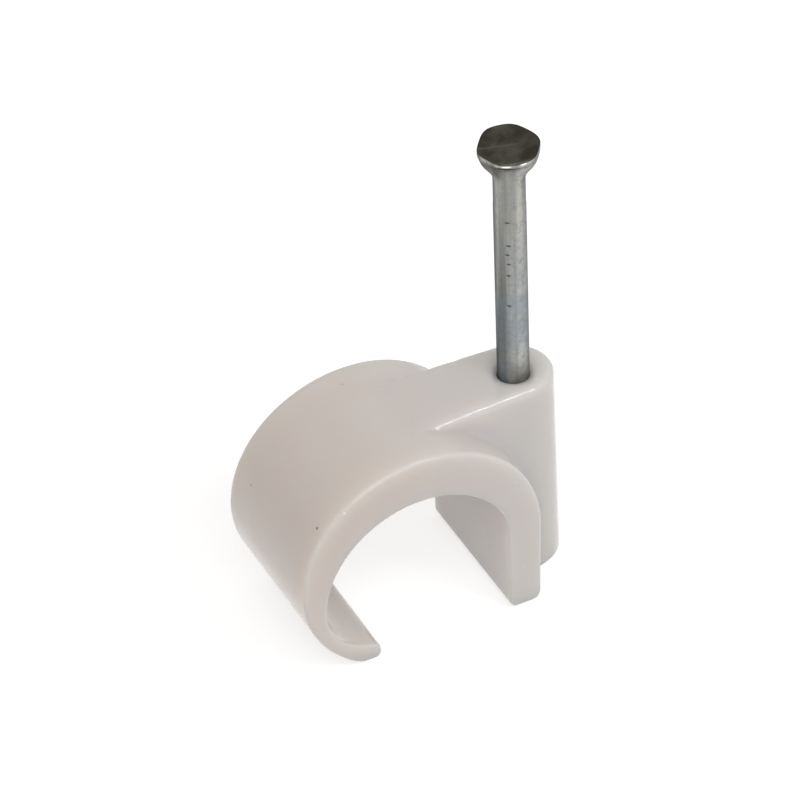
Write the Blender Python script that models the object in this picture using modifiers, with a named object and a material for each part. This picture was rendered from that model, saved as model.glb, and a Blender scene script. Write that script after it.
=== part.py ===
"""Round cable clip: a moulded clip body and the masonry nail that it holds.

Metres, +Z up and away from the wall. The feet stand on z = 0 and the cable lies along Y.
"""

import math

import bmesh
import bpy

# Cable space
CAVITY_RADIUS = 0.0096
WALL_CUT = 0.0023
LEG_INSET = 0.0007

# Arch, leg and free arm
BODY_WIDTH = 0.0154
CROWN_THICKNESS = 0.0048
LEG_THICKNESS = 0.0034
FOOT_THICKNESS = 0.00325
ARM_THICKNESS = 0.00235
CROWN_EASE = 0.00017
SIDE_START = math.radians(123.0)
HOOK_LEAD = math.radians(9.0)
HOOK_INNER_START = math.radians(180.0)
LIP_RADIUS = 0.0010
LIP_TUCK = 0.00023
FOOT_INNER_ROUND = 0.0011
FOOT_OUTER_ROUND = 0.0012
FOOT_END_ROUND = 0.0006
RIM_ROUND = 0.0005

# Nail boss and the rib that ties it to the crown
BOSS_OFFSET = 0.00475
BOSS_TOP_RADIUS = 0.0037
BOSS_FOOT_RADIUS = 0.00395
BOSS_DROP = 0.0001
BOSS_ROUND = 0.0008
RIB_FLARE = math.radians(2.2)
RIB_OVERRUN = 0.0008
ROOT_DEPTH = 0.0012

# Nail and its hole
SHANK_RADIUS = 0.0015
NAIL_CLEARANCE = 0.0003
COUNTERSINK_RADIUS = 0.0026
COUNTERSINK_DEPTH = 0.0008
NAIL_LENGTH = 0.045
NAIL_PROUD = 0.0256
POINT_LENGTH = 0.0045
POINT_FLAT = 0.0002
HEAD_RADIUS = 0.00295
HEAD_TURN = math.radians(4.0)
HEAD_THICKNESS = 0.0012
HEAD_CORNER_ROUND = 0.0013
HEAD_EDGE_ROUND = 0.0004
NECK_ROUND = 0.0004

# Fineness of the round forms
ARC_STEP = math.radians(5.0)
EDGE_STEPS = 2
TURN_STEPS = 40
MERGE = 0.00001
CUT_MARGIN = 0.002

# Places that follow from the sizes, measured from the middle of the cable space
CAVITY_HEIGHT = CAVITY_RADIUS - WALL_CUT
LEG_OFFSET = CAVITY_RADIUS - LEG_INSET
LEG_OUTSIDE = LEG_OFFSET + LEG_THICKNESS
ARM_REACH = CAVITY_RADIUS + ARM_THICKNESS
CROWN_HEIGHT = CAVITY_HEIGHT + CAVITY_RADIUS + CROWN_THICKNESS
BOSS_HEIGHT = CROWN_HEIGHT - BOSS_DROP
CROWN_RADIUS = (LEG_OUTSIDE + ARM_REACH) / 2 + CROWN_EASE
CROWN_CENTRE = (LEG_OUTSIDE - CROWN_RADIUS, CROWN_HEIGHT - CROWN_RADIUS)
SIDE_RADIUS = (CROWN_CENTRE[0] + CROWN_RADIUS * math.cos(SIDE_START) + ARM_REACH) / (1 + math.cos(SIDE_START))
SIDE_CENTRE = (
    CROWN_CENTRE[0] + (CROWN_RADIUS - SIDE_RADIUS) * math.cos(SIDE_START),
    CROWN_CENTRE[1] + (CROWN_RADIUS - SIDE_RADIUS) * math.sin(SIDE_START),
)
CAVITY_CENTRE = (0.0, CAVITY_HEIGHT)
LIP_REACH = math.sqrt((SIDE_RADIUS - LIP_RADIUS - LIP_TUCK) ** 2 - (SIDE_CENTRE[1] - LIP_RADIUS) ** 2)
LIP_CENTRE = (SIDE_CENTRE[0] - LIP_REACH, LIP_RADIUS)
NAIL_X = LEG_OFFSET + BOSS_OFFSET
BOSS_REACH = NAIL_X + BOSS_FOOT_RADIUS
CENTRING = (ARM_REACH - BOSS_REACH) / 2
HOLE_RADIUS = SHANK_RADIUS + NAIL_CLEARANCE
POINT_HEIGHT = BOSS_HEIGHT + NAIL_PROUD - NAIL_LENGTH


def clear_scene():
    for item in list(bpy.data.objects):
        bpy.data.objects.remove(item, do_unlink=True)


def make_collection(name):
    collection = bpy.data.collections.new(name)
    bpy.context.scene.collection.children.link(collection)
    return collection


def plastic():
    material = bpy.data.materials.new("white_plastic")
    material.use_nodes = True
    shader = material.node_tree.nodes["Principled BSDF"]
    shader.inputs["Base Color"].default_value = (0.62, 0.57, 0.53, 1.0)
    shader.inputs["Roughness"].default_value = 0.38
    shader.inputs["Subsurface Weight"].default_value = 0.2
    shader.inputs["Subsurface Scale"].default_value = 0.003
    return material


def zinc():
    material = bpy.data.materials.new("zinc_plated_steel")
    material.use_nodes = True
    shader = material.node_tree.nodes["Principled BSDF"]
    shader.inputs["Base Color"].default_value = (0.52, 0.53, 0.52, 1.0)
    shader.inputs["Metallic"].default_value = 1.0
    shader.inputs["Roughness"].default_value = 0.32
    return material


def arc(centre, radius, start, end):
    """Points along an arc, both ends included, turning from start to end."""
    steps = max(3, math.ceil(abs(end - start) / ARC_STEP))
    angles = [start + (end - start) * i / steps for i in range(steps + 1)]
    return [(centre[0] + radius * math.cos(a), centre[1] + radius * math.sin(a)) for a in angles]


def direction(start, end):
    """Angle of the line from one point to another, from 0 to a full turn."""
    return math.atan2(end[1] - start[1], end[0] - start[0]) % (2 * math.pi)


def inner_tangent(centre, radius, angle, target, target_radius):
    """Circle that leaves another inwards at an angle and goes on to touch a target circle.

    A negative target radius makes it pass on the far side of the target.
    """
    nx, nz = math.cos(angle), math.sin(angle)
    start = (centre[0] + radius * nx, centre[1] + radius * nz)
    dx, dz = start[0] - target[0], start[1] - target[1]
    size = (dx * dx + dz * dz - target_radius**2) / (2 * (nx * dx + nz * dz - target_radius))
    return (start[0] - size * nx, start[1] - size * nz), size


def clip_profile():
    """Section of the arch with its leg and free arm, counter-clockwise from the inner foot."""
    half, full = math.pi, 2 * math.pi
    shoulder = direction(SIDE_CENTRE, LIP_CENTRE) - HOOK_LEAD
    outer, outer_radius = inner_tangent(SIDE_CENTRE, SIDE_RADIUS, shoulder, LIP_CENTRE, LIP_RADIUS)
    inner, inner_radius = inner_tangent(
        CAVITY_CENTRE, CAVITY_RADIUS, HOOK_INNER_START, LIP_CENTRE, -LIP_RADIUS
    )
    heel = direction(outer, LIP_CENTRE)
    lip_top = direction(LIP_CENTRE, inner) + full
    corner = math.acos(LEG_OFFSET / CAVITY_RADIUS)
    foot_inner = (LEG_OFFSET + FOOT_INNER_ROUND, FOOT_INNER_ROUND)
    foot_outer = (LEG_OFFSET + FOOT_THICKNESS - FOOT_OUTER_ROUND, FOOT_OUTER_ROUND)
    points = arc(foot_inner, FOOT_INNER_ROUND, half, 1.5 * half)
    points += arc(foot_outer, FOOT_OUTER_ROUND, 1.5 * half, full)
    points += arc(CROWN_CENTRE, CROWN_RADIUS, 0.0, SIDE_START)
    points += arc(SIDE_CENTRE, SIDE_RADIUS, SIDE_START, shoulder)[1:]
    points += arc(outer, outer_radius, shoulder, heel)[1:]
    points += arc(LIP_CENTRE, LIP_RADIUS, heel, lip_top)[1:]
    points += arc(inner, inner_radius, lip_top - half, HOOK_INNER_START)[1:]
    points += arc(CAVITY_CENTRE, CAVITY_RADIUS, HOOK_INNER_START, corner)[1:]
    return points


def outline_object(name, points, thickness, edge_round):
    """Closed flat outline, given its thickness and rounded edges, as a mesh object."""
    curve = bpy.data.curves.new(name, "CURVE")
    curve.dimensions = "2D"
    curve.fill_mode = "BOTH"
    curve.extrude = thickness / 2 - edge_round
    curve.bevel_depth = edge_round
    curve.bevel_resolution = EDGE_STEPS
    curve.offset = -edge_round
    spline = curve.splines.new("POLY")
    spline.points.add(len(points) - 1)
    for point, (x, y) in zip(spline.points, points):
        point.co = (x, y, 0.0, 1.0)
    spline.use_cyclic_u = True
    return mesh_from_curve(name, curve)


def mesh_from_curve(name, curve):
    """Evaluated curve as a closed mesh object, with its caps welded."""
    source = bpy.data.objects.new(name + "_curve", curve)
    bpy.context.scene.collection.objects.link(source)
    depsgraph = bpy.context.evaluated_depsgraph_get()
    mesh = bpy.data.meshes.new_from_object(source.evaluated_get(depsgraph))
    work = bmesh.new()
    work.from_mesh(mesh)
    bmesh.ops.remove_doubles(work, verts=work.verts, dist=MERGE)
    bmesh.ops.recalc_face_normals(work, faces=work.faces)
    work.to_mesh(mesh)
    work.free()
    bpy.data.objects.remove(source, do_unlink=True)
    return bpy.data.objects.new(name, mesh)


def turned_object(name, profile):
    """Solid turned about Z from a profile that runs down its outer side."""
    mesh = bpy.data.meshes.new(name)
    edges = [(i, i + 1) for i in range(len(profile) - 1)]
    mesh.from_pydata([(r, 0.0, z) for r, z in profile], edges, [])
    item = bpy.data.objects.new(name, mesh)
    screw = item.modifiers.new("turn", "SCREW")
    screw.steps = TURN_STEPS
    screw.render_steps = TURN_STEPS
    screw.use_merge_vertices = True
    screw.merge_threshold = MERGE
    return item


def boolean(item, other, operation):
    modifier = item.modifiers.new(other.name, "BOOLEAN")
    modifier.object = other
    modifier.operation = operation
    modifier.solver = "EXACT"


def as_guide(item, guides):
    guides.objects.link(item)
    item.hide_render = True
    item.display_type = "WIRE"


def finish(item, parts, material):
    parts.objects.link(item)
    item.data.materials.clear()
    item.data.materials.append(material)


def lengthwise(item):
    """Turn an outline so that its section stands in XZ and its thickness lies along Y."""
    item.rotation_euler = (math.pi / 2, 0.0, 0.0)
    item.location = (CENTRING, 0.0, 0.0)


def cavity_cutter(guides):
    """Space under the arch, kept inside the wall, that stops the boss and rib short of the cable."""
    radius = CAVITY_RADIUS + ROOT_DEPTH
    wall = LEG_OFFSET + ROOT_DEPTH
    below = -CUT_MARGIN
    corner = math.acos(wall / radius)
    points = [(wall, below)] + arc(CAVITY_CENTRE, radius, corner, math.pi) + [(-radius, below)]
    cutter = outline_object("cable_space_cutter", points, BODY_WIDTH, 0.0)
    lengthwise(cutter)
    as_guide(cutter, guides)
    return cutter


def boss_object(guides):
    """Nail column and its rib over the crown, drafted to draw from the mould."""
    middle = (BOSS_TOP_RADIUS + BOSS_FOOT_RADIUS) / 2
    side = math.pi / 2 - RIB_FLARE
    length = NAIL_X + RIB_OVERRUN
    width = middle * math.cos(RIB_FLARE) + (length + middle * math.sin(RIB_FLARE)) * math.tan(RIB_FLARE)
    points = arc((0.0, 0.0), middle, -side, side) + [(-length, width), (-length, -width)]
    boss = outline_object("boss", points, BOSS_HEIGHT, BOSS_ROUND)
    boss.location = (CENTRING + NAIL_X, 0.0, BOSS_HEIGHT / 2)
    draft = boss.modifiers.new("draft", "SIMPLE_DEFORM")
    draft.deform_method = "TAPER"
    draft.deform_axis = "Z"
    draft.factor = (BOSS_TOP_RADIUS - BOSS_FOOT_RADIUS) / middle
    boolean(boss, cavity_cutter(guides), "DIFFERENCE")
    as_guide(boss, guides)
    return boss


def foot_end_limit(guides):
    """Block that rounds off the ends of the feet where they meet the wall."""
    half = BODY_WIDTH / 2 + CUT_MARGIN
    inner = BODY_WIDTH / 2 - FOOT_END_ROUND
    quarter = math.pi / 2
    points = arc((-inner, FOOT_END_ROUND), FOOT_END_ROUND, 2 * quarter, 3 * quarter)
    points += arc((inner, FOOT_END_ROUND), FOOT_END_ROUND, 3 * quarter, 4 * quarter)
    points += [(BODY_WIDTH / 2, FOOT_END_ROUND * 2), (half, FOOT_END_ROUND * 2 + CUT_MARGIN)]
    points += [(half, CROWN_HEIGHT + CUT_MARGIN), (-half, CROWN_HEIGHT + CUT_MARGIN)]
    points += [(-half, FOOT_END_ROUND * 2 + CUT_MARGIN), (-BODY_WIDTH / 2, FOOT_END_ROUND * 2)]
    block = outline_object("foot_end_limit", points, 2 * (ARM_REACH + BOSS_REACH), 0.0)
    block.rotation_euler = (math.pi / 2, 0.0, math.pi / 2)
    as_guide(block, guides)
    return block


def hole_cutter(guides):
    """Nail hole right through the boss, with its countersunk mouth."""
    mouth_slope = (COUNTERSINK_RADIUS - HOLE_RADIUS) / COUNTERSINK_DEPTH
    top = BOSS_HEIGHT + CUT_MARGIN
    profile = [
        (0.0, top),
        (COUNTERSINK_RADIUS + CUT_MARGIN * mouth_slope, top),
        (HOLE_RADIUS, BOSS_HEIGHT - COUNTERSINK_DEPTH),
        (HOLE_RADIUS, -CUT_MARGIN),
        (0.0, -CUT_MARGIN),
    ]
    cutter = turned_object("nail_hole_cutter", profile)
    cutter.location = (CENTRING + NAIL_X, 0.0, 0.0)
    as_guide(cutter, guides)
    return cutter


def clip_body(parts, guides):
    body = outline_object("clip_body", clip_profile(), BODY_WIDTH, RIM_ROUND)
    lengthwise(body)
    boolean(body, boss_object(guides), "UNION")
    boolean(body, foot_end_limit(guides), "INTERSECT")
    boolean(body, hole_cutter(guides), "DIFFERENCE")
    finish(body, parts, plastic())


def head_outline():
    """Six-sided outline with well rounded corners."""
    corner = HEAD_CORNER_ROUND
    reach = HEAD_RADIUS - corner
    spread = math.pi / 6
    points = []
    for side in range(6):
        angle = HEAD_TURN + side * math.pi / 3
        centre = (reach * math.cos(angle), reach * math.sin(angle))
        points += arc(centre, corner, angle - spread, angle + spread)
    return points


def nail(parts, guides):
    """Hardened nail with a ground point, driven part way through the boss."""
    under_head = NAIL_LENGTH - HEAD_THICKNESS
    inside_head = NAIL_LENGTH - HEAD_THICKNESS / 2
    neck = arc((SHANK_RADIUS + NECK_ROUND, under_head - NECK_ROUND), NECK_ROUND, math.pi / 2, math.pi)
    profile = [(0.0, inside_head), (SHANK_RADIUS + NECK_ROUND, inside_head)] + neck
    profile += [(SHANK_RADIUS, POINT_LENGTH), (SHANK_RADIUS * 0.62, POINT_LENGTH / 3)]
    profile += [(POINT_FLAT, 0.0), (0.0, 0.0)]
    shank = turned_object("nail", profile)
    shank.location = (CENTRING + NAIL_X, 0.0, POINT_HEIGHT)
    head = outline_object("nail_head", head_outline(), HEAD_THICKNESS, HEAD_EDGE_ROUND)
    head.location = (CENTRING + NAIL_X, 0.0, POINT_HEIGHT + NAIL_LENGTH - HEAD_THICKNESS / 2)
    as_guide(head, guides)
    boolean(shank, head, "UNION")
    finish(shank, parts, zinc())


clear_scene()
part_collection = make_collection("cable_clip")
guide_collection = make_collection("cutters")
clip_body(part_collection, guide_collection)
nail(part_collection, guide_collection)
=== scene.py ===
import math

import bmesh
import bpy
from mathutils import Matrix, Vector


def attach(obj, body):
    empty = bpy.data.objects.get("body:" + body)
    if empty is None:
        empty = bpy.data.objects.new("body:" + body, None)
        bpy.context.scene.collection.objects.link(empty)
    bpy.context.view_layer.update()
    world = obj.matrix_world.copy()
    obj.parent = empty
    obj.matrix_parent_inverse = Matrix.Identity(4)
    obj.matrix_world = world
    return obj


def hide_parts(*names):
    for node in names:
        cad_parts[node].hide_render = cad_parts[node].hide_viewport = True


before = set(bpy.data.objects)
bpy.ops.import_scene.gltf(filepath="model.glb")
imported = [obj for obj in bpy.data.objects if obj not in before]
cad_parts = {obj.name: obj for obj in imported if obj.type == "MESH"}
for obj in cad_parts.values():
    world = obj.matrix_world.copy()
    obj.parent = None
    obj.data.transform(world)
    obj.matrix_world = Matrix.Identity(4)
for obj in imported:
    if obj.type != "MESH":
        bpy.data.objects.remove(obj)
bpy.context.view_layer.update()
print("frame loaded")

mm = 0.001

# Small helpers for node trees


def addNode(tree, kind, **settings):
    node = tree.nodes.new(kind)
    for name, value in settings.items():
        setattr(node, name, value)
    return node


# A socket gets a link or a plain value
def plug(tree, value, socket):
    if isinstance(value, bpy.types.NodeSocket):
        tree.links.new(value, socket)
    else:
        socket.default_value = value


def calc(tree, operation, *values):
    node = addNode(tree, "ShaderNodeMath", operation=operation)
    for value, socket in zip(values, node.inputs):
        plug(tree, value, socket)
    return node.outputs[0]


def joinAxes(tree, x, y, z):
    node = addNode(tree, "ShaderNodeCombineXYZ")
    for value, socket in zip((x, y, z), node.inputs):
        plug(tree, value, socket)
    return node.outputs[0]


def splitAxes(tree, vector):
    node = addNode(tree, "ShaderNodeSeparateXYZ")
    plug(tree, vector, node.inputs[0])
    return node.outputs


def noiseAt(tree, place, scale, detail=2.0, roughness=0.5):
    node = addNode(tree, "ShaderNodeTexNoise")
    plug(tree, place, node.inputs["Vector"])
    plug(tree, scale, node.inputs["Scale"])
    node.inputs["Detail"].default_value = detail
    node.inputs["Roughness"].default_value = roughness
    return node.outputs[0]


# A value carried from one range to another, held at the ends
def span(tree, value, low, high, first=0.0, last=1.0, kind="SMOOTHSTEP"):
    node = addNode(tree, "ShaderNodeMapRange", clamp=True, interpolation_type=kind)
    for amount, socket in zip((value, low, high, first, last), node.inputs):
        plug(tree, amount, socket)
    return node.outputs[0]


# Geometry tree with named inputs, and the sockets that carry them inside
def newTree(name, inputs):
    tree = bpy.data.node_groups.new(name, "GeometryNodeTree")
    tree.interface.new_socket("Geometry", in_out="INPUT", socket_type="NodeSocketGeometry")
    for label, kind in inputs:
        tree.interface.new_socket(label, in_out="INPUT", socket_type=kind)
    tree.interface.new_socket("Geometry", in_out="OUTPUT", socket_type="NodeSocketGeometry")
    source = addNode(tree, "NodeGroupInput")
    target = addNode(tree, "NodeGroupOutput")
    return tree, {s.name: s for s in source.outputs if s.name}, target.inputs[0]


# Puts the tree on an object, with its inputs set by the sockets' identifiers
def useTree(item, tree, values):
    modifier = item.modifiers.new(tree.name, "NODES")
    modifier.node_group = tree
    for socket in tree.interface.items_tree:
        if socket.in_out == "INPUT" and socket.name in values:
            modifier[socket.identifier] = values[socket.name]


# Smooth shading, real geometry and the material, then out of the tree
def endTree(tree, shape, material, result):
    for kind in ("GeometryNodeSetShadeSmooth", "GeometryNodeRealizeInstances", "GeometryNodeSetMaterial"):
        node = addNode(tree, kind)
        tree.links.new(shape, node.inputs[0])
        shape = node.outputs[0]
    tree.links.new(material, node.inputs["Material"])
    tree.links.new(shape, result)


def addObject(name, data):
    item = bpy.data.objects.new(name, data)
    bpy.context.scene.collection.objects.link(item)
    return item


# The evaluated shape as a plain mesh object, and the source object goes
def settle(item, name):
    bpy.context.view_layer.update()
    graph = bpy.context.evaluated_depsgraph_get()
    mesh = bpy.data.meshes.new_from_object(item.evaluated_get(graph))
    mesh.name = name
    paint = next(m for m in mesh.materials if m)
    mesh.materials.clear()
    mesh.materials.append(paint)
    mesh.polygons.foreach_set("material_index", [0] * len(mesh.polygons))
    bpy.data.objects.remove(item, do_unlink=True)
    return addObject(name, mesh)


# The moulded clip body

clipBody = {
    # Section of the arch, its leg and its free arm, in mm and degrees
    "cableRadius": 9.6, "cableHeight": 7.3, "legInset": 0.7, "width": 15.4,
    "crownThickness": 4.8, "legThickness": 3.4, "footThickness": 3.25, "armThickness": 2.335,
    "crownEase": 0.17, "sideStart": 123.0, "hookLead": 9.0, "hookInnerStart": 180.0,
    "lipRadius": 1.0, "lipTuck": 0.23,
    "footInnerRound": 1.1, "footOuterRound": 1.2, "footEndRound": 0.6, "rimRound": 0.26,
    # Nail boss and the rib that runs from it over the crown
    "bossOffset": 4.75, "bossTopRadius": 3.7, "bossFootRadius": 3.95, "bossDrop": 0.1, "bossRound": 0.6,
    "ribFlare": 2.2, "ribOverrun": 0.8, "rootDepth": 1.2,
    # The crease beside the rib grows softer over this stretch
    "creaseRun": (2.5, 8.5), "creaseStart": 0.12, "creaseRound": 0.8,
    "holeRadius": 1.51, "countersinkRadius": 2.35, "countersinkDepth": 0.65, "mouthRound": 0.45,
    # Worn facet along the rib's edge: depth in mm, patches per metre, noise level that counts as none, contrast
    "edgeWear": 0.026, "wearScale": 750.0, "wearLevel": 0.36, "wearContrast": 6.0,
    # Slight unevenness of the moulding: depth in mm, waves per metre
    "waviness": 0.03, "waveScale": 260.0, "waveDetail": 3.0,
    # Step along the arcs in degrees, with small rounds at four times that; grid cell and empty margin in mm
    "arcStep": 1.5, "grain": 0.182, "margin": 0.5,
}


def arcPoints(centre, radius, start, end, step):
    count = max(3, math.ceil(abs(end - start) / step))
    angles = [start + (end - start) * i / count for i in range(count + 1)]
    return [(centre[0] + radius * math.cos(a), centre[1] + radius * math.sin(a)) for a in angles]


def bearing(start, end):
    return math.atan2(end[1] - start[1], end[0] - start[0]) % (2 * math.pi)


# Circle that leaves another inwards and goes on to touch a third one
def inwardTangent(centre, radius, angle, target, targetRadius):
    nx, nz = math.cos(angle), math.sin(angle)
    start = (centre[0] + radius * nx, centre[1] + radius * nz)
    dx, dz = start[0] - target[0], start[1] - target[1]
    size = (dx * dx + dz * dz - targetRadius**2) / (2 * (nx * dx + nz * dz - targetRadius))
    return (start[0] - size * nx, start[1] - size * nz), size


# Places in millimetres that follow from the body's sizes, from the middle of the cable
def bodyPlaces(s):
    p = dict(s)
    p["legX"] = s["cableRadius"] - s["legInset"]
    outside = p["legX"] + s["legThickness"]
    reach = s["cableRadius"] + s["armThickness"]
    crown = s["cableHeight"] + s["cableRadius"] + s["crownThickness"]
    p["bossHeight"] = crown - s["bossDrop"]
    p["crownRadius"] = (outside + reach) / 2 + s["crownEase"]
    p["crownCentre"] = (outside - p["crownRadius"], crown - p["crownRadius"])
    turn = math.radians(s["sideStart"])
    p["sideRadius"] = (p["crownCentre"][0] + p["crownRadius"] * math.cos(turn) + reach) / (1 + math.cos(turn))
    slack = p["crownRadius"] - p["sideRadius"]
    p["sideCentre"] = (p["crownCentre"][0] + slack * math.cos(turn), p["crownCentre"][1] + slack * math.sin(turn))
    run = p["sideRadius"] - s["lipRadius"] - s["lipTuck"]
    lipReach = math.sqrt(run**2 - (p["sideCentre"][1] - s["lipRadius"]) ** 2)
    p["lipCentre"] = (p["sideCentre"][0] - lipReach, s["lipRadius"])
    p["nailX"] = p["legX"] + s["bossOffset"]
    p["centring"] = (reach - p["nailX"] - s["bossFootRadius"]) / 2
    return p


# Outline of the arch, its leg and its free arm, in millimetres
def sectionPoints(p):
    half, full, step = math.pi, 2 * math.pi, math.radians(p["arcStep"])
    cable = (0.0, p["cableHeight"])
    lip, lipRadius = p["lipCentre"], p["lipRadius"]
    shoulder = bearing(p["sideCentre"], lip) - math.radians(p["hookLead"])
    outer, outerRadius = inwardTangent(p["sideCentre"], p["sideRadius"], shoulder, lip, lipRadius)
    innerStart = math.radians(p["hookInnerStart"])
    inner, innerRadius = inwardTangent(cable, p["cableRadius"], innerStart, lip, -lipRadius)
    heel, lipTop = bearing(outer, lip), bearing(lip, inner) + full
    corner = math.acos(p["legX"] / p["cableRadius"])
    footIn = (p["legX"] + p["footInnerRound"], p["footInnerRound"])
    footOut = (p["legX"] + p["footThickness"] - p["footOuterRound"], p["footOuterRound"])
    points = arcPoints(footIn, p["footInnerRound"], half, 1.5 * half, step * 4)
    points += arcPoints(footOut, p["footOuterRound"], 1.5 * half, full, step * 4)
    points += arcPoints(p["crownCentre"], p["crownRadius"], 0.0, math.radians(p["sideStart"]), step)
    points += arcPoints(p["sideCentre"], p["sideRadius"], math.radians(p["sideStart"]), shoulder, step)[1:]
    points += arcPoints(outer, outerRadius, shoulder, heel, step)[1:]
    points += arcPoints(lip, lipRadius, heel, lipTop, step * 4)[1:]
    points += arcPoints(inner, innerRadius, lipTop - half, innerStart, step)[1:]
    points += arcPoints(cable, p["cableRadius"], innerStart, corner, step)[1:]
    return points


# Distance to what two solids share, with the edge between them rounded
def meetRounded(tree, a, b, radius):
    a, b = calc(tree, "ADD", a, radius), calc(tree, "ADD", b, radius)
    inside = calc(tree, "MINIMUM", calc(tree, "MAXIMUM", a, b), 0.0)
    a, b = calc(tree, "MAXIMUM", a, 0.0), calc(tree, "MAXIMUM", b, 0.0)
    outside = calc(tree, "SQRT", calc(tree, "ADD", calc(tree, "MULTIPLY", a, a), calc(tree, "MULTIPLY", b, b)))
    return calc(tree, "SUBTRACT", calc(tree, "ADD", outside, inside), radius)


# Clip body as a distance rule: the section given its width, the nail boss with its rib, and the hole
def bodyTree():
    sizes = ["Width", "Rim Round", "Foot End Round", "Cable Radius", "Cable Height", "Leg X", "Nail X",
             "Boss Top Radius", "Boss Foot Radius", "Boss Height", "Boss Round", "Rib Flare", "Rib End",
             "Crease From", "Crease To", "Crease Start", "Crease Round",
             "Hole Radius", "Countersink Radius", "Countersink Depth", "Mouth Round",
             "Edge Wear", "Wear Scale", "Waviness", "Wave Scale"]
    inputs = [(label, "NodeSocketFloat") for label in sizes]
    inputs += [("Low", "NodeSocketVector"), ("High", "NodeSocketVector")]
    inputs += [(label, "NodeSocketInt") for label in ("Cells X", "Cells Y", "Cells Z")]
    inputs += [("Plastic", "NodeSocketMaterial")]
    tree, given, result = newTree("clipBodyForm", inputs)

    def c(operation, *values):
        return calc(tree, operation, *values)

    place = addNode(tree, "GeometryNodeInputPosition").outputs[0]
    x, y, z = splitAxes(tree, place)
    acrossY = c("ABSOLUTE", y)
    halfWidth = c("MULTIPLY", given["Width"], 0.5)

    # Signed distance to the section, which lies flat in the tree's own X and Y
    flat = joinAxes(tree, x, z, 0.0)
    line = addNode(tree, "GeometryNodeCurveToMesh")
    tree.links.new(given["Geometry"], line.inputs[0])
    fill = addNode(tree, "GeometryNodeFillCurve")
    tree.links.new(given["Geometry"], fill.inputs[0])
    fromLine = addNode(tree, "GeometryNodeProximity", target_element="EDGES")
    tree.links.new(line.outputs[0], fromLine.inputs[0])
    tree.links.new(flat, fromLine.inputs["Sample Position"])
    fromFill = addNode(tree, "GeometryNodeProximity", target_element="FACES")
    tree.links.new(fill.outputs[0], fromFill.inputs[0])
    tree.links.new(flat, fromFill.inputs["Sample Position"])
    onFace = 1e-7  # metres, nearer than this counts as inside the section
    isOut = c("GREATER_THAN", fromFill.outputs["Distance"], onFace)
    sign = c("SUBTRACT", c("MULTIPLY", isOut, 2.0), 1.0)
    section = c("MULTIPLY", fromLine.outputs["Distance"], sign)
    arch = meetRounded(tree, section, c("SUBTRACT", acrossY, halfWidth), given["Rim Round"])

    # Nail boss with the rib's spreading sides, drafted from top to foot
    px = c("SUBTRACT", x, given["Nail X"])
    share = c("DIVIDE", z, given["Boss Height"])
    drop = c("SUBTRACT", given["Boss Top Radius"], given["Boss Foot Radius"])
    radius = c("ADD", given["Boss Foot Radius"], c("MULTIPLY", drop, share))
    sine, cosine = c("SINE", given["Rib Flare"]), c("COSINE", given["Rib Flare"])
    along = c("SUBTRACT", c("MULTIPLY", acrossY, sine), c("MULTIPLY", px, cosine))
    reach = c("SQRT", c("ADD", c("MULTIPLY", px, px), c("MULTIPLY", acrossY, acrossY)))
    side = c("ADD", c("MULTIPLY", px, sine), c("MULTIPLY", acrossY, cosine))
    isSide = c("GREATER_THAN", along, 0.0)
    plan = c("ADD", c("MULTIPLY", side, isSide), c("MULTIPLY", reach, c("SUBTRACT", 1.0, isSide)))
    boss = c("SUBTRACT", plan, radius)
    boss = c("MAXIMUM", boss, c("SUBTRACT", given["Rib End"], x))
    run = (given["Crease From"], given["Crease To"])
    crease = span(tree, x, *run, given["Crease Start"], given["Crease Round"], "LINEAR")
    joined = meetRounded(tree, c("MULTIPLY", arch, -1.0), c("MULTIPLY", boss, -1.0), crease)
    joined = c("MULTIPLY", joined, -1.0)
    middle = c("MULTIPLY", given["Boss Height"], 0.5)
    slab = c("SUBTRACT", c("ABSOLUTE", c("SUBTRACT", z, middle)), middle)
    rounded = meetRounded(tree, joined, slab, given["Boss Round"])

    # Narrow worn facet along the rounded edge, deeper in some places than in others
    patchy = noiseAt(tree, place, given["Wear Scale"], detail=0.0)
    worn = c("MULTIPLY", c("SUBTRACT", patchy, clipBody["wearLevel"]), clipBody["wearContrast"])
    facet = c("MULTIPLY", c("ADD", joined, slab), math.sqrt(0.5))
    facet = c("ADD", facet, c("MULTIPLY", given["Edge Wear"], worn))
    facet = c("ADD", facet, c("MULTIPLY", given["Boss Round"], math.sqrt(2.0) - 1.0))
    joined = c("MAXIMUM", rounded, facet)

    # The boss and rib stop inside the arch's wall, short of the cable
    rise = c("SUBTRACT", z, given["Cable Height"])
    fromCable = c("SQRT", c("ADD", c("MULTIPLY", x, x), c("MULTIPLY", rise, rise)))
    ring = c("SUBTRACT", fromCable, given["Cable Radius"])
    hollow = c("MINIMUM", ring, c("MAXIMUM", c("SUBTRACT", x, given["Leg X"]), rise))
    joined = c("MAXIMUM", joined, c("MULTIPLY", hollow, -1.0))
    whole = c("MINIMUM", arch, joined)

    # The feet's ends are rounded where they meet the wall
    beside = c("SUBTRACT", acrossY, halfWidth)
    block = meetRounded(tree, beside, c("MULTIPLY", z, -1.0), given["Foot End Round"])
    whole = c("MAXIMUM", whole, block)

    # Nail hole with its countersunk mouth
    bore = c("SUBTRACT", reach, given["Hole Radius"])
    depth = c("SUBTRACT", z, given["Boss Height"])
    widening = c("SUBTRACT", given["Countersink Radius"], given["Hole Radius"])
    slope = c("DIVIDE", widening, given["Countersink Depth"])
    cone = c("SUBTRACT", c("SUBTRACT", reach, given["Countersink Radius"]), c("MULTIPLY", depth, slope))
    slant = 0.7071  # brings the rule of the slanting side close to a true distance
    cone = c("MULTIPLY", cone, slant)
    whole = meetRounded(tree, whole, c("MULTIPLY", c("MINIMUM", bore, cone), -1.0), given["Mouth Round"])

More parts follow.
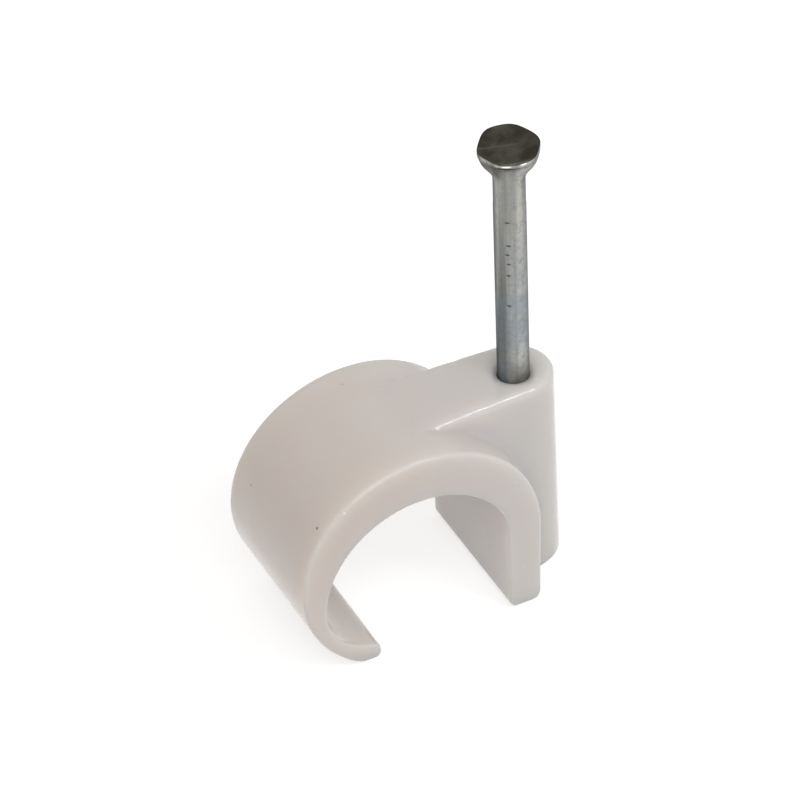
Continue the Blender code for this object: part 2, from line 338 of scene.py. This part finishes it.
    # Slight unevenness of the moulding, which only takes material away
    waves = noiseAt(tree, place, given["Wave Scale"], clipBody["waveDetail"])
    whole = c("ADD", whole, c("MULTIPLY", waves, given["Waviness"]))

    # The rule on a grid of cells, and its skin
    volume = addNode(tree, "GeometryNodeVolumeCube")
    tree.links.new(c("MULTIPLY", whole, -1.0), volume.inputs["Density"])
    volume.inputs["Background"].default_value = -2.0 * mm
    tree.links.new(given["Low"], volume.inputs["Min"])
    tree.links.new(given["High"], volume.inputs["Max"])
    for axis in "XYZ":
        tree.links.new(given["Cells " + axis], volume.inputs["Resolution " + axis])
    skin = addNode(tree, "GeometryNodeVolumeToMesh")
    skin.inputs["Threshold"].default_value = 0.0
    tree.links.new(volume.outputs[0], skin.inputs[0])
    endTree(tree, skin.outputs[0], given["Plastic"], result)
    return tree


def makeClipBody(material):
    p = bodyPlaces(clipBody)
    curve = bpy.data.curves.new("clipSection", "CURVE")
    curve.dimensions = "2D"
    points = sectionPoints(p)
    spline = curve.splines.new("POLY")
    spline.points.add(len(points) - 1)
    for point, (x, z) in zip(spline.points, points):
        point.co = (x * mm, z * mm, 0.0, 1.0)
    spline.use_cyclic_u = True
    item = addObject("clipSection", curve)
    margin, halfWidth = p["margin"], p["width"] / 2
    low = (-p["cableRadius"] - p["armThickness"] - margin, -halfWidth - margin, -margin)
    top = p["bossHeight"] + p["bossDrop"]
    high = (p["nailX"] + p["bossFootRadius"] + margin, halfWidth + margin, top + margin)
    cells = [int((b - a) / p["grain"]) for a, b in zip(low, high)]
    values = {
        "Width": p["width"] * mm, "Rim Round": p["rimRound"] * mm, "Foot End Round": p["footEndRound"] * mm,
        "Cable Radius": (p["cableRadius"] + p["rootDepth"]) * mm, "Cable Height": p["cableHeight"] * mm,
        "Leg X": (p["legX"] + p["rootDepth"]) * mm, "Nail X": p["nailX"] * mm,
        "Boss Top Radius": p["bossTopRadius"] * mm, "Boss Foot Radius": p["bossFootRadius"] * mm,
        "Boss Height": p["bossHeight"] * mm, "Boss Round": p["bossRound"] * mm,
        "Rib Flare": math.radians(p["ribFlare"]), "Rib End": -p["ribOverrun"] * mm,
        "Crease From": p["creaseRun"][0] * mm, "Crease To": p["creaseRun"][1] * mm,
        "Crease Start": p["creaseStart"] * mm, "Crease Round": p["creaseRound"] * mm,
        "Hole Radius": p["holeRadius"] * mm, "Mouth Round": p["mouthRound"] * mm,
        "Countersink Radius": p["countersinkRadius"] * mm, "Countersink Depth": p["countersinkDepth"] * mm,
        "Edge Wear": p["edgeWear"] * mm, "Wear Scale": p["wearScale"],
        "Waviness": p["waviness"] * mm, "Wave Scale": p["waveScale"],
        "Low": [v * mm for v in low], "High": [v * mm for v in high],
        "Cells X": cells[0], "Cells Y": cells[1], "Cells Z": cells[2], "Plastic": material,
    }
    useTree(item, bodyTree(), values)
    made = settle(item, "clipBodyMoulding")
    made.data.transform(Matrix.Translation((p["centring"] * mm, 0.0, 0.0)))
    print("clip body", len(made.data.polygons), "faces", len(made.data.vertices), "points")
    return made


# Milky plastic of the clip

milkyPlastic = {
    # Colour from the free arm to the boss, over this stretch in mm and with this much wander
    "armColour": (0.705, 0.645, 0.610), "bossColour": (0.690, 0.668, 0.655),
    "blendRun": (-12.0, 12.0), "wander": 12.0, "patchScale": 85.0,
    # Warmer patches: scale, the noise that shows them, amount
    "warmShade": (0.690, 0.640, 0.590), "shadeScale": 195.5, "shadeSpread": (0.45, 0.75), "shadeAmount": 0.5,
    # Scattered specks: cells per metre, size within a cell, share of the cells
    "darkSpeck": (0.16, 0.13, 0.10), "darkCells": (210.0, 0.03, 0.05),
    "lightSpeck": (0.92, 0.90, 0.88), "lightCells": (273.0, 0.035, 0.05),
    # Single small marks: place in mm, radius in mm, how strong, and whether dark
    "blemishes": (((-12.46, -6.29, 16.94), 0.15, 0.9, True), ((-13.87, 4.54, 14.45), 0.13, 0.45, True),
                  ((-10.31, -7.67, 18.83), 0.15, 0.9, False), ((6.87, -7.69, 15.25), 0.10, 0.6, False),
                  ((7.51, -7.68, 4.85), 0.10, 0.6, False), ((-3.85, 5.42, 21.64), 0.11, 0.4, True)),
    "blemishEdge": (0.5, 1.2),  # where a mark starts to fade and where it ends, as shares of its radius
    # Roughness stays on one side of 0.27, where the denoiser changes how it works
    "roughness": (0.17, 0.26), "roughSpread": (0.3, 0.7), "roughDetail": 4.0, "roughUneven": 0.6,
    # Bumps: scale, strength, height in mm
    "grainScale": 2600.0, "grainStrength": 0.010, "grainHeight": 0.2,
    "flowScale": 420.0, "flowStrength": 0.05, "flowHeight": 0.4,
    "scatter": 1.0, "scatterReach": 0.0042, "scatterColour": (1.0, 0.85, 0.7),
    "ior": 1.46, "shine": 0.3, "coat": 0.55, "coatRoughness": 0.07,
}


def newMaterial(name):
    material = bpy.data.materials.new(name)
    material.use_nodes = True
    tree = material.node_tree
    return material, tree, tree.nodes["Principled BSDF"]


def blendColour(tree, share, first, second):
    node = addNode(tree, "ShaderNodeMix", data_type="RGBA")
    plug(tree, share, node.inputs[0])
    for value, socket in ((first, node.inputs[6]), (second, node.inputs[7])):
        plug(tree, value if isinstance(value, bpy.types.NodeSocket) else (*value, 1.0), socket)
    return node.outputs[2]


def objectPlace(tree):
    return addNode(tree, "ShaderNodeTexCoord").outputs["Object"]


def bumpOf(tree, height, strength, distance, normal=None):
    node = addNode(tree, "ShaderNodeBump")
    node.inputs["Strength"].default_value = strength
    node.inputs["Distance"].default_value = distance
    plug(tree, height, node.inputs["Height"])
    if normal is not None:
        tree.links.new(normal, node.inputs["Normal"])
    return node.outputs[0]


# Specks set by small cells, each in the middle of its own cell
def specks(tree, place, scale, size, share):
    cells = addNode(tree, "ShaderNodeTexVoronoi", feature="F1")
    tree.links.new(place, cells.inputs["Vector"])
    cells.inputs["Scale"].default_value = scale
    core = size * 0.4
    near = span(tree, cells.outputs["Distance"], size, core)
    tint = addNode(tree, "ShaderNodeSeparateColor")
    tree.links.new(cells.outputs["Color"], tint.inputs[0])
    return calc(tree, "MULTIPLY", near, calc(tree, "LESS_THAN", tint.outputs[0], share))


def makePlastic(s):
    material, tree, shader = newMaterial("milkyPlastic")
    place = objectPlace(tree)
    across = splitAxes(tree, place)[0]
    uneven = calc(tree, "SUBTRACT", noiseAt(tree, place, s["patchScale"], detail=3.0), 0.5)
    wander = calc(tree, "MULTIPLY", uneven, s["wander"] * mm)
    toBoss = span(tree, calc(tree, "ADD", across, wander), *[v * mm for v in s["blendRun"]])
    colour = blendColour(tree, toBoss, s["armColour"], s["bossColour"])
    patches = span(tree, noiseAt(tree, place, s["shadeScale"], detail=3.0), *s["shadeSpread"])
    colour = blendColour(tree, calc(tree, "MULTIPLY", patches, s["shadeAmount"]), colour, s["warmShade"])
    for spot, radius, strength, isDark in s["blemishes"]:
        away = addNode(tree, "ShaderNodeVectorMath", operation="DISTANCE")
        tree.links.new(place, away.inputs[0])
        away.inputs[1].default_value = [v * mm for v in spot]
        fade = [radius * v * mm for v in s["blemishEdge"]]
        share = span(tree, away.outputs["Value"], *fade, strength, 0.0)
        colour = blendColour(tree, share, colour, s["darkSpeck"] if isDark else s["lightSpeck"])
    colour = blendColour(tree, specks(tree, place, *s["darkCells"]), colour, s["darkSpeck"])
    colour = blendColour(tree, specks(tree, place, *s["lightCells"]), colour, s["lightSpeck"])
    tree.links.new(colour, shader.inputs["Base Color"])
    patchy = noiseAt(tree, place, s["flowScale"], s["roughDetail"], s["roughUneven"])
    tree.links.new(span(tree, patchy, *s["roughSpread"], *s["roughness"]), shader.inputs["Roughness"])
    grain = noiseAt(tree, place, s["grainScale"], detail=3.0)
    grain = bumpOf(tree, grain, s["grainStrength"], s["grainHeight"] * mm)
    flow = noiseAt(tree, place, s["flowScale"])
    flow = bumpOf(tree, flow, s["flowStrength"], s["flowHeight"] * mm, grain)
    tree.links.new(flow, shader.inputs["Normal"])
    shader.inputs["Subsurface Weight"].default_value = s["scatter"]
    shader.inputs["Subsurface Radius"].default_value = s["scatterColour"]
    shader.inputs["Subsurface Scale"].default_value = s["scatterReach"]
    shader.inputs["IOR"].default_value = s["ior"]
    shader.inputs["Specular IOR Level"].default_value = s["shine"]
    shader.inputs["Coat Weight"].default_value = s["coat"]
    shader.inputs["Coat Roughness"].default_value = s["coatRoughness"]
    return material


body = makeClipBody(makePlastic(milkyPlastic))
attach(body, "root")
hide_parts("clip_body")

# The masonry nail

masonryNail = {
    # Place, heights and radii in mm
    "place": (10.825, 0.0), "top": 47.2, "tip": 2.2, "tipRadius": 0.2, "pointLength": 4.5,
    "shankRadius": 1.5, "upperRadius": 1.475,
    "shoulderHeight": 40.7, "shoulderRun": 0.2, "shoulderBand": 0.3,
    # Reach of the head's six hammered flats from the nail's axis, and how it is turned
    "flats": (2.80, 3.02, 2.70, 2.92, 3.03, 2.78), "headTurn": 21.0, "cornerSharpness": 7.0,
    # From the rim down the neck: depth, then reach beyond the shank on the plain faces and along the dies' split
    "neck": ((0.0, 0.88, 0.88), (0.05, 0.93, 0.93), (0.13, 0.97, 0.97), (0.25, 1.0, 1.0), (0.45, 0.99, 1.0),
             (0.62, 0.94, 1.0), (0.76, 0.82, 0.99), (0.92, 0.60, 0.98), (1.12, 0.40, 0.95), (1.40, 0.24, 0.90),
             (1.75, 0.13, 0.81), (2.10, 0.07, 0.66), (2.50, 0.03, 0.42), (2.90, 0.01, 0.18), (3.30, 0.0, 0.05),
             (3.70, 0.0, 0.0)),
    "splitBearing": 150.0, "splitSharpness": 2.0, "neckClear": 0.1, "topDish": 0.05,
    # Dents of the gripping dies: heights and sizes in mm, bearing and sway in degrees, ragged outline
    "markHeights": (39.4, 36.8, 35.75, 34.7, 33.4, 29.9), "markBearing": 233.0,
    "markReach": 0.28, "markFlatness": 2.3, "markDepth": 0.09, "markCore": 0.45,
    "markRaggedness": 0.3, "raggedScale": 4200.0, "markSway": 2.0, "swayTurn": 2.3,
    # Rings as shares of the point's length and of the head's reach
    "pointSteps": (0.0, 0.05, 0.25, 0.5, 0.75, 0.92, 0.98), "topSteps": (0.96, 0.85, 0.65, 0.45, 0.28, 0.14, 0.05),
    # Fineness of the mesh: columns round it, the finer band at the dents in degrees, steps along it in mm
    "columns": 96, "fineWidth": 14.0, "fineSplits": 4,
    "fineMargin": 0.6, "fineStep": 0.07, "coarseStep": 0.5,
}


# Reach of the rounded six-sided head in one direction
def headReach(s, angle):
    total = 0.0
    for i, reach in enumerate(s["flats"]):
        facing = math.cos(angle - math.radians(s["headTurn"] + 60.0 * i))
        total += (max(0.0, facing) / reach) ** s["cornerSharpness"]
    return total ** (-1.0 / s["cornerSharpness"])


# Heights from low to high, close together where the gripping dies left their marks
def shankHeights(s):
    low, high = min(s["markHeights"]) - s["fineMargin"], max(s["markHeights"]) + s["fineMargin"]
    z, heights = s["tip"] + s["pointLength"], []
    while z < s["top"] - s["neck"][-1][0] - s["neckClear"]:
        heights.append(z)
        fine = low < z < high or abs(z - s["shoulderHeight"]) < s["shoulderBand"]
        z += s["fineStep"] if fine else s["coarseStep"]
    return heights


def columnAngles(s):
    step, angles = 360.0 / s["columns"], []
    for i in range(s["columns"]):
        angle = i * step
        apart = min((angle - s["markBearing"]) % 180.0, (s["markBearing"] - angle) % 180.0)
        splits = s["fineSplits"] if apart < s["fineWidth"] else 1
        angles += [math.radians(angle + step * k / splits) for k in range(splits)]
    return angles


def nailRings(s, angles):
    rings = []
    lift = s["pointLength"]
    for part in s["pointSteps"]:
        radius = s["tipRadius"] + (s["shankRadius"] - s["tipRadius"]) * part
        rings.append([(radius, s["tip"] + lift * part)] * len(angles))
    for z in shankHeights(s):
        upper = min(1.0, max(0.0, (z - s["shoulderHeight"]) / s["shoulderRun"] + 0.5))
        radius = s["shankRadius"] + (s["upperRadius"] - s["shankRadius"]) * upper
        rings.append([(radius, z)] * len(angles))
    for depth, plain, split in reversed(s["neck"]):
        ring = []
        for angle in angles:
            beyond = headReach(s, angle) - s["upperRadius"]
            toSplit = abs(math.cos(angle - math.radians(s["splitBearing"]))) ** s["splitSharpness"]
            share = plain + (split - plain) * toSplit
            ring.append((s["upperRadius"] + beyond * share, s["top"] - depth))
        rings.append(ring)
    rimShare = s["neck"][0][1]
    for part in s["topSteps"]:
        ring = []
        for angle in angles:
            reach = s["upperRadius"] + (headReach(s, angle) - s["upperRadius"]) * rimShare
            ring.append((reach * part, s["top"] - s["topDish"] * (1.0 - part * part)))
        rings.append(ring)
    return rings


def makeNailShape(s):
    shape = bmesh.new()
    angles = columnAngles(s)
    x0, y0 = s["place"]
    loops = []
    for ring in nailRings(s, angles):
        loop = []
        for angle, (radius, z) in zip(angles, ring):
            x, y = x0 + radius * math.cos(angle), y0 + radius * math.sin(angle)
            loop.append(shape.verts.new((x * mm, y * mm, z * mm)))
        loops.append(loop)
    count = len(angles)
    for lower, upper in zip(loops, loops[1:]):
        for i in range(count):
            k = (i + 1) % count
            shape.faces.new((lower[i], lower[k], upper[k], upper[i]))
    for loop, z, isTop in ((loops[0], s["tip"], False), (loops[-1], s["top"] - s["topDish"], True)):
        centre = shape.verts.new((x0 * mm, y0 * mm, z * mm))
        for i in range(count):
            pair = (loop[i], loop[(i + 1) % count])
            shape.faces.new((*pair, centre) if isTop else (pair[1], pair[0], centre))
    mesh = bpy.data.meshes.new("nailShape")
    shape.to_mesh(mesh)
    shape.free()
    return addObject("nailShape", mesh)


# Points where the gripping dies bit, on two opposite sides of the shank
def gripPoints(s):
    x0, y0 = s["place"]
    points = []
    for side in (0.0, 180.0):
        for i, z in enumerate(s["markHeights"]):
            sway = s["markSway"] * math.sin(s["swayTurn"] * i + side)
            turn = math.radians(s["markBearing"] + side + sway)
            x, y = x0 + s["shankRadius"] * math.cos(turn), y0 + s["shankRadius"] * math.sin(turn)
            points.append((x * mm, y * mm, z * mm))
    mesh = bpy.data.meshes.new("gripPoints")
    mesh.from_pydata(points, [], [])
    return addObject("gripPoints", mesh)


# The gripping dies' small dents, which also carry an amount for the metal's colour
def gripTree():
    tree, given, result = newTree("gripMarks", [("Marks", "NodeSocketObject"), ("Reach", "NodeSocketFloat"),
                                                ("Flatness", "NodeSocketFloat"), ("Depth", "NodeSocketFloat"),
                                                ("Raggedness", "NodeSocketFloat"), ("Zinc", "NodeSocketMaterial")])
    marks = addNode(tree, "GeometryNodeObjectInfo", transform_space="ORIGINAL")
    tree.links.new(given["Marks"], marks.inputs["Object"])

    def stretched(place):
        x, y, z = splitAxes(tree, place)
        return joinAxes(tree, x, y, calc(tree, "MULTIPLY", z, given["Flatness"]))

    moved = addNode(tree, "GeometryNodeSetPosition")
    tree.links.new(marks.outputs["Geometry"], moved.inputs["Geometry"])
    tree.links.new(stretched(addNode(tree, "GeometryNodeInputPosition").outputs[0]), moved.inputs["Position"])
    place = addNode(tree, "GeometryNodeInputPosition").outputs[0]
    near = addNode(tree, "GeometryNodeProximity", target_element="POINTS")
    tree.links.new(moved.outputs[0], near.inputs[0])
    tree.links.new(stretched(place), near.inputs["Sample Position"])
    ragged = noiseAt(tree, place, masonryNail["raggedScale"])
    uneven = calc(tree, "MULTIPLY", calc(tree, "SUBTRACT", ragged, 0.5), given["Raggedness"])
    share = calc(tree, "DIVIDE", calc(tree, "ADD", near.outputs["Distance"], uneven), given["Reach"])
    dent = span(tree, share, 1.0, masonryNail["markCore"])
    kept = addNode(tree, "GeometryNodeStoreNamedAttribute", data_type="FLOAT", domain="POINT")
    kept.inputs["Name"].default_value = "gripMark"
    tree.links.new(given["Geometry"], kept.inputs["Geometry"])
    tree.links.new(dent, kept.inputs["Value"])
    normal = addNode(tree, "ShaderNodeVectorMath", operation="SCALE")
    tree.links.new(addNode(tree, "GeometryNodeInputNormal").outputs[0], normal.inputs[0])
    inwards = calc(tree, "MULTIPLY", calc(tree, "MULTIPLY", dent, given["Depth"]), -1.0)
    tree.links.new(inwards, normal.inputs["Scale"])
    pressed = addNode(tree, "GeometryNodeSetPosition")
    tree.links.new(kept.outputs[0], pressed.inputs["Geometry"])
    tree.links.new(normal.outputs[0], pressed.inputs["Offset"])
    endTree(tree, pressed.outputs[0], given["Zinc"], result)
    return tree


def makeNail(s, material):
    item, marks = makeNailShape(s), gripPoints(s)
    values = {"Marks": marks, "Reach": s["markReach"] * mm, "Flatness": s["markFlatness"],
              "Depth": s["markDepth"] * mm, "Raggedness": s["markRaggedness"] * mm, "Zinc": material}
    useTree(item, gripTree(), values)
    made = settle(item, "masonryNail")
    bpy.data.objects.remove(marks, do_unlink=True)
    print("nail", len(made.data.polygons), "faces")
    return made


# Zinc plating of the nail, with the dark oily top of its head

zincPlating = {
    # Drawn streaks along the shank, with broader bands of painted reflection: colours, scale, stretch, and how
    # fine and broad ones mix
    "light": (0.50, 0.49, 0.455), "dark": (0.225, 0.225, 0.21), "streakSpread": (0.40, 0.58),
    "streakScale": 1100.0, "reflectionBandScale": 385.0, "streakStretch": 0.035, "streakMix": (0.45, 0.55),
    # Bluish film, stronger low on the nail: heights in mm, amount low and high
    "blue": (0.25, 0.30, 0.34), "patchScale": 240.0, "patchSpread": (0.35, 0.6),
    "blueHeights": (29.0, 40.0), "blueAmounts": (0.75, 0.12),
    "mottleScale": 2300.0, "mottleSpread": (0.45, 0.68), "mottle": 0.5,
    "markColour": (0.045, 0.042, 0.038), "markAmount": 0.8,
    # Oily top of the head, with a ragged border in mm
    "headTop": (0.040, 0.037, 0.027), "headTopLight": (0.085, 0.082, 0.066),
    "oilScale": 384.0, "oilSpread": (0.35, 0.7),
    "headHeight": 47.0, "borderWidth": 0.06, "borderScale": 900.0, "borderRaggedness": 0.3,
    # Painted shade line under the head's rim and painted glints on the rim: place and half length in mm, flatness,
    # colour
    "rimPaintedGlintsAndShade": (((9.30, -2.40, 46.50), 0.95, 3.4, (0.03, 0.028, 0.03)),
                 ((9.34, -2.40, 46.93), 0.55, 5.0, (1.0, 1.0, 1.0)),
                 ((10.74, -2.95, 46.93), 0.33, 4.0, (1.0, 1.0, 1.0))),
    # Shares of the half length where a painted rim mark ends and where it is full
    "rimPaintedEdge": (1.15, 0.75), "rimPaintedRaggedness": 1.5,
    # Straight score across the head's top: direction it faces and place in mm, width and end in mm, and the
    # shares of those two where it is full
    "score": (0.279, 0.960, 0.170), "scoreWidth": 0.22, "scoreEnd": 1.2, "scoreEdge": (0.2, 0.4),
    "scoreColour": (0.125, 0.12, 0.10), "scoreAmount": 0.35,
    "edgeTint": (0.4, 0.4, 0.42), "roughness": (0.28, 0.44), "roughSpread": (0.3, 0.7),
    # Bumps: strength and height in mm
    "drawnStrength": 0.12, "drawnHeight": 0.2, "pitScale": 2200.0, "pitStrength": 0.10, "pitHeight": 0.1,
}


# Share of a straight score on the head's top
def scoreShare(tree, s, x, y):
    faceX, faceY, offset = s["score"]
    across = calc(tree, "ADD", calc(tree, "MULTIPLY", x, faceX), calc(tree, "MULTIPLY", y, faceY))
    apart = calc(tree, "ABSOLUTE", calc(tree, "ADD", across, offset * mm))
    core, taper = s["scoreEdge"]
    line = span(tree, apart, s["scoreWidth"] * mm, s["scoreWidth"] * core * mm)
    ending = span(tree, x, s["scoreEnd"] * mm, s["scoreEnd"] * taper * mm)
    return calc(tree, "MULTIPLY", calc(tree, "MULTIPLY", line, ending), s["scoreAmount"])


# Distance from a spot, with heights counted more by the flatness
def flatDistance(tree, place, spot, flatness):
    apart = addNode(tree, "ShaderNodeVectorMath", operation="SUBTRACT")
    tree.links.new(place, apart.inputs[0])
    apart.inputs[1].default_value = [v * mm for v in spot]
    squashed = addNode(tree, "ShaderNodeVectorMath", operation="MULTIPLY")
    tree.links.new(apart.outputs[0], squashed.inputs[0])
    squashed.inputs[1].default_value = (1.0, 1.0, flatness)
    away = addNode(tree, "ShaderNodeVectorMath", operation="LENGTH")
    tree.links.new(squashed.outputs[0], away.inputs[0])
    return away.outputs["Value"]


def makeZinc(s):
    material, tree, shader = newMaterial("zincPlating")
    place = objectPlace(tree)
    centred = addNode(tree, "ShaderNodeMapping")
    x0, y0 = masonryNail["place"]
    centred.inputs["Location"].default_value = (-x0 * mm, -y0 * mm, 0.0)
    tree.links.new(place, centred.inputs["Vector"])
    x, y, z = splitAxes(tree, centred.outputs[0])
    drawnOut = joinAxes(tree, x, y, calc(tree, "MULTIPLY", z, s["streakStretch"]))
    fine = noiseAt(tree, drawnOut, s["streakScale"], detail=4.0, roughness=0.6)
    # Broad bands are painted reflection standing in for the light and dark reflections on the round shank; the
    # fine ones are drawn streaks
    reflectionBands = noiseAt(tree, drawnOut, s["reflectionBandScale"])
    fineShare, reflectionShare = s["streakMix"]
    streaksAndReflections = calc(tree, "ADD", calc(tree, "MULTIPLY", fine, fineShare), calc(tree, "MULTIPLY", reflectionBands, reflectionShare))
    colour = blendColour(tree, span(tree, streaksAndReflections, *s["streakSpread"]), s["dark"], s["light"])
    lowDown = span(tree, z, *[v * mm for v in s["blueHeights"]], *s["blueAmounts"])
    patches = span(tree, noiseAt(tree, place, s["patchScale"], detail=3.0, roughness=0.6), *s["patchSpread"])
    colour = blendColour(tree, calc(tree, "MULTIPLY", patches, lowDown), colour, s["blue"])
    mottle = noiseAt(tree, place, s["mottleScale"], detail=3.0, roughness=0.7)
    mottle = span(tree, mottle, *s["mottleSpread"], last=s["mottle"])
    colour = blendColour(tree, mottle, colour, s["dark"])
    mark = addNode(tree, "ShaderNodeAttribute", attribute_name="gripMark").outputs["Fac"]
    colour = blendColour(tree, calc(tree, "MULTIPLY", mark, s["markAmount"]), colour, s["markColour"])

    # Top of the head, and the painted glints and painted shade line on its rim
    oily = span(tree, noiseAt(tree, place, s["oilScale"], detail=4.0, roughness=0.6), *s["oilSpread"])
    top = blendColour(tree, oily, s["headTop"], s["headTopLight"])
    top = blendColour(tree, scoreShare(tree, s, x, y), top, s["scoreColour"])
    uneven = calc(tree, "SUBTRACT", noiseAt(tree, place, s["borderScale"], detail=3.0), 0.5)
    border = calc(tree, "MULTIPLY", uneven, s["borderRaggedness"] * mm)
    # Painted highlights on the rim and a painted shadow line under it, both put into the base colour
    for spot, halfLength, flatness, tint in s["rimPaintedGlintsAndShade"]:
        away = flatDistance(tree, place, spot, flatness)
        ragged = calc(tree, "ADD", away, calc(tree, "MULTIPLY", border, s["rimPaintedRaggedness"]))
        share = span(tree, ragged, *[halfLength * v * mm for v in s["rimPaintedEdge"]])
        colour = blendColour(tree, share, colour, tint)
    low, high = (s["headHeight"] - s["borderWidth"]) * mm, (s["headHeight"] + s["borderWidth"]) * mm
    isTop = span(tree, calc(tree, "ADD", z, border), low, high)
    colour = blendColour(tree, isTop, colour, top)
    tree.links.new(colour, shader.inputs["Base Color"])

    shader.inputs["Metallic"].default_value = 1.0
    shader.inputs["Specular Tint"].default_value = (*s["edgeTint"], 1.0)
    tree.links.new(span(tree, fine, *s["roughSpread"], *s["roughness"]), shader.inputs["Roughness"])
    drawn = bumpOf(tree, fine, s["drawnStrength"], s["drawnHeight"] * mm)
    pits = noiseAt(tree, place, s["pitScale"], detail=4.0, roughness=0.65)
    tree.links.new(bumpOf(tree, pits, s["pitStrength"], s["pitHeight"] * mm, drawn), shader.inputs["Normal"])
    return material


nail = makeNail(masonryNail, makeZinc(zincPlating))
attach(nail, "root")
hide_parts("nail")

# Camera at the photograph's angle

# Angles in degrees, places in metres, lens and sensor in mm
cameraSettings = {"azimuth": -25.645, "elevation": 40.0, "roll": 2.285, "distance": 0.5,
                  "aim": (0.000225, 0.001956, 0.020647), "lens": 248.3, "sensor": 36.0, "clip": (0.01, 10.0)}


def makeCamera(s):
    a, e, r = (math.radians(s[k]) for k in ("azimuth", "elevation", "roll"))
    back = Vector((math.sin(a) * math.cos(e), -math.cos(a) * math.cos(e), math.sin(e)))
    right = Vector((math.cos(a), math.sin(a), 0.0))
    up = back.cross(right)
    camX = right * math.cos(r) - up * math.sin(r)
    camY = right * math.sin(r) + up * math.cos(r)
    data = bpy.data.cameras.new("camera")
    data.lens = s["lens"]
    data.sensor_width = s["sensor"]
    data.clip_start, data.clip_end = s["clip"]
    item = addObject("camera", data)
    turn = Matrix((camX, camY, back)).transposed().to_4x4()
    item.matrix_world = Matrix.Translation(Vector(s["aim"]) + back * s["distance"]) @ turn
    bpy.context.scene.camera = item


makeCamera(cameraSettings)
print("camera placed")

# Floor and light

studio = {
    # World's colour as it lights the scene and as the camera and reflections see it
    "worldForLight": (0.458, 0.438, 0.410), "worldSeen": (1.0, 1.0, 1.0), "worldStrength": 1.0,
    # Floor: colour and its faint mottle, size in metres, light of its own seen by the camera and reflections
    "floorColour": (0.62, 0.62, 0.62), "mottleShade": 0.99, "mottleScale": 30.0, "mottleSpread": (0.3, 0.7),
    "floorRoughness": 0.9, "floorSize": 3.0, "floorGlow": 0.64,
    # Softboxes aim at one point; each has power, width and height, place, colour
    "aim": (0.0, 0.0, 0.02),
    "frontBox": (0.76, 0.22, 0.12, (0.229, -0.353, 0.473), (0.955, 0.975, 1.0)),
    "wideBox": (1.56, 0.50, 0.50, (-0.175, -0.455, 0.524), (0.97, 0.985, 1.0)),
}


def showsBackground(tree):
    path = addNode(tree, "ShaderNodeLightPath")
    seen = calc(tree, "ADD", path.outputs["Is Camera Ray"], path.outputs["Is Glossy Ray"])
    return calc(tree, "MINIMUM", calc(tree, "ADD", seen, path.outputs["Is Transmission Ray"]), 1.0)


def makeWorld(s):
    world = bpy.data.worlds.new("studio")
    bpy.context.scene.world = world
    world.use_nodes = True
    tree = world.node_tree
    background = tree.nodes["Background"]
    colour = blendColour(tree, showsBackground(tree), s["worldForLight"], s["worldSeen"])
    tree.links.new(colour, background.inputs["Color"])
    background.inputs["Strength"].default_value = s["worldStrength"]


def makeFloor(s):
    half = s["floorSize"] / 2
    mesh = bpy.data.meshes.new("floor")
    mesh.from_pydata([(-half, -half, 0), (half, -half, 0), (half, half, 0), (-half, half, 0)], [], [(0, 1, 2, 3)])
    floor = addObject("floor", mesh)
    material, tree, shader = newMaterial("paleFloor")
    place = objectPlace(tree)
    mottle = span(tree, noiseAt(tree, place, s["mottleScale"], detail=3.0), *s["mottleSpread"])
    tone = s["floorColour"]
    colour = blendColour(tree, mottle, tone, [v * s["mottleShade"] for v in tone])
    tree.links.new(colour, shader.inputs["Base Color"])
    shader.inputs["Roughness"].default_value = s["floorRoughness"]
    shader.inputs["Specular IOR Level"].default_value = 0.0
    shader.inputs["Emission Color"].default_value = (1.0, 1.0, 1.0, 1.0)
    glow = calc(tree, "MULTIPLY", showsBackground(tree), s["floorGlow"])
    tree.links.new(glow, shader.inputs["Emission Strength"])
    mesh.materials.append(material)


def makeSoftbox(s, name):
    power, width, height, place, colour = s[name]
    light = bpy.data.lights.new(name, "AREA")
    light.energy = power
    light.shape = "RECTANGLE"
    light.size, light.size_y = width, height
    light.color = colour
    lamp = addObject(name, light)
    lamp.location = place
    lamp.rotation_euler = (Vector(s["aim"]) - lamp.location).to_track_quat("-Z", "Y").to_euler()


bpy.context.scene.view_settings.view_transform = "Standard"
makeWorld(studio)
makeFloor(studio)
makeSoftbox(studio, "frontBox")
makeSoftbox(studio, "wideBox")
print("floor and light made")
